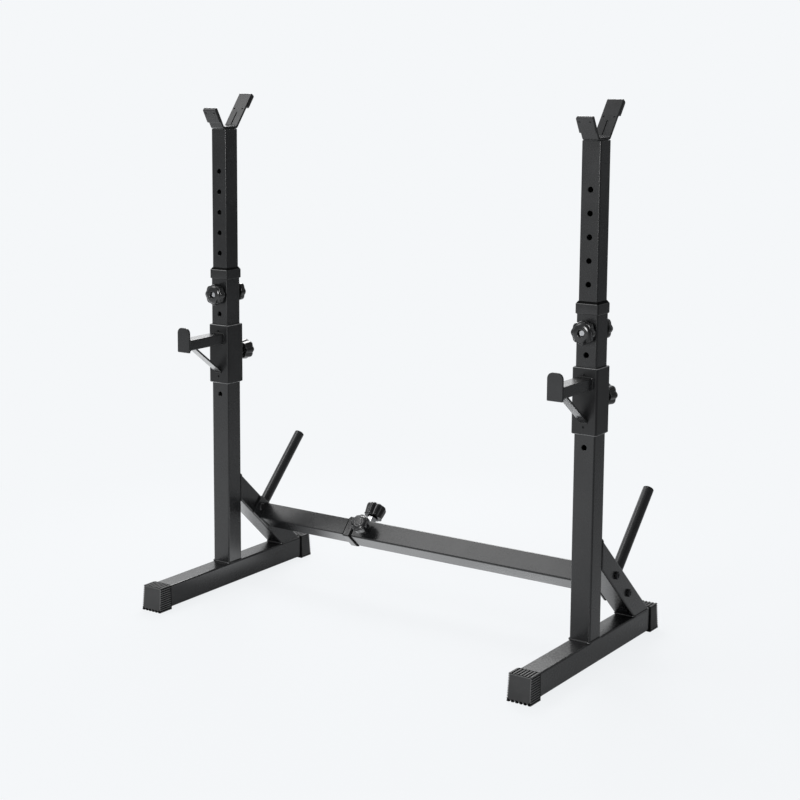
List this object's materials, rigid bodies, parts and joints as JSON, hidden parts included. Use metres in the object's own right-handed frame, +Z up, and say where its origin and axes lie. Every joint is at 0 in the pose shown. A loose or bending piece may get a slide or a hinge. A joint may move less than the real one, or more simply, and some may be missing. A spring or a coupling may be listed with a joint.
{
  "type": "adjustable squat stand",
  "caption": "Adjustable squat stand: square posts on long capped feet, V bar catches on sliding inner posts, safety hooks, plate storage pegs and a telescoping crossbar.",
  "frame": {"origin": "on the floor, midway between the two stands and midway between the front and rear ends of their feet", "axes": "+X from the left stand to the right stand seen by the lifter who faces the plate pegs, +Y from the hooks at the front to the plate pegs at the rear, +Z up"},
  "size_m": [1.0666, 0.606, 1.222],
  "materials": {
    "black_paint": "satin powder coat",
    "black_plastic": "moulded, satin",
    "rubber": "matte, ribbed",
    "bright_steel": "polished",
    "dark_zinc": "dark zinc plate"
  },
  "bodies": {
    "right_stand": {"right_foot_tube": "black_paint", "right_foot_cap_front": "rubber", "right_foot_cap_rear": "rubber", "right_outer_post": "black_paint", "right_post_collar": "black_plastic", "right_brace": "black_paint", "right_plate_post": "black_paint", "right_plate_post_plug": "black_plastic", "right_upper_bolt": "dark_zinc", "right_upper_nut": "dark_zinc", "right_lower_bolt": "dark_zinc", "right_lower_nut": "dark_zinc", "crossbar_outer": "black_paint", "crossbar_collar": "black_plastic"},
    "left_stand": {"left_foot_tube": "black_paint", "left_foot_cap_front": "rubber", "left_foot_cap_rear": "rubber", "left_outer_post": "black_paint", "left_post_collar": "black_plastic", "left_brace": "black_paint", "left_plate_post": "black_paint", "left_plate_post_plug": "black_plastic", "left_upper_bolt": "dark_zinc", "left_upper_nut": "dark_zinc", "left_lower_bolt": "dark_zinc", "left_lower_nut": "dark_zinc", "crossbar_inner": "black_paint"},
    "right_mast": {"right_inner_post": "black_paint", "right_bar_catch": "black_paint", "right_catch_liner": "black_plastic"},
    "right_hook": {"right_hook_sleeve": "black_paint", "right_hook_arm": "black_paint", "right_hook_plate": "black_paint", "right_hook_gusset": "black_paint"},
    "right_lock": {"right_lock_pin": "bright_steel", "right_lock_knob": "black_plastic"},
    "right_clamp": {"right_clamp_screw": "bright_steel", "right_clamp_knob": "black_plastic"},
    "right_hook_lock": {"right_hook_pin": "bright_steel", "right_hook_knob": "black_plastic"},
    "left_mast": {"left_inner_post": "black_paint", "left_bar_catch": "black_paint", "left_catch_liner": "black_plastic"},
    "left_hook": {"left_hook_sleeve": "black_paint", "left_hook_arm": "black_paint", "left_hook_plate": "black_paint", "left_hook_gusset": "black_paint"},
    "left_lock": {"left_lock_pin": "bright_steel", "left_lock_knob": "black_plastic"},
    "left_clamp": {"left_clamp_screw": "bright_steel", "left_clamp_knob": "black_plastic"},
    "left_hook_lock": {"left_hook_pin": "bright_steel", "left_hook_knob": "black_plastic"},
    "crossbar_lock": {"crossbar_pin": "bright_steel", "crossbar_pin_knob": "black_plastic"},
    "crossbar_clamp": {"crossbar_clamp_screw": "bright_steel", "crossbar_clamp_knob": "black_plastic"}
  },
  "joints": [
    {"name": "width_slide", "type": "slide", "parent": "right_stand", "child": "left_stand", "axis": [-1, 0, 0], "range_m": [-0.1, 0.15]},
    {"name": "right_mast_slide", "type": "slide", "parent": "right_stand", "child": "right_mast", "axis": [0, 0, 1], "range_m": [-0.3, 0.25]},
    {"name": "right_hook_slide", "type": "slide", "parent": "right_stand", "child": "right_hook", "axis": [0, 0, 1], "range_m": [-0.1, 0.05]},
    {"name": "right_lock_push", "type": "slide", "parent": "right_stand", "child": "right_lock", "axis": [0, 1, 0], "range_m": [0, 0.006]},
    {"name": "right_clamp_turn", "type": "hinge", "parent": "right_stand", "child": "right_clamp", "pos_m": [0.5, 0.0125, 0.7366], "axis": [0, 1, 0], "continuous": true},
    {"name": "right_hook_lock_push", "type": "slide", "parent": "right_hook", "child": "right_hook_lock", "axis": [0, -1, 0], "range_m": [0, 0.004]},
    {"name": "left_mast_slide", "type": "slide", "parent": "left_stand", "child": "left_mast", "axis": [0, 0, 1], "range_m": [-0.3, 0.25]},
    {"name": "left_hook_slide", "type": "slide", "parent": "left_stand", "child": "left_hook", "axis": [0, 0, 1], "range_m": [-0.1, 0.05]},
    {"name": "left_lock_push", "type": "slide", "parent": "left_stand", "child": "left_lock", "axis": [0, 1, 0], "range_m": [0, 0.006]},
    {"name": "left_clamp_turn", "type": "hinge", "parent": "left_stand", "child": "left_clamp", "pos_m": [-0.5, 0.0125, 0.7366], "axis": [0, 1, 0], "continuous": true},
    {"name": "left_hook_lock_push", "type": "slide", "parent": "left_hook", "child": "left_hook_lock", "axis": [0, -1, 0], "range_m": [0, 0.004]},
    {"name": "crossbar_lock_push", "type": "slide", "parent": "right_stand", "child": "crossbar_lock", "axis": [0, -0.6691, -0.7431], "range_m": [0, 0.006]},
    {"name": "crossbar_clamp_turn", "type": "hinge", "parent": "right_stand", "child": "crossbar_clamp", "pos_m": [-0.1553, 0.09642, 0.1681], "axis": [0, -0.7431, 0.6691], "continuous": true}
  ]
}
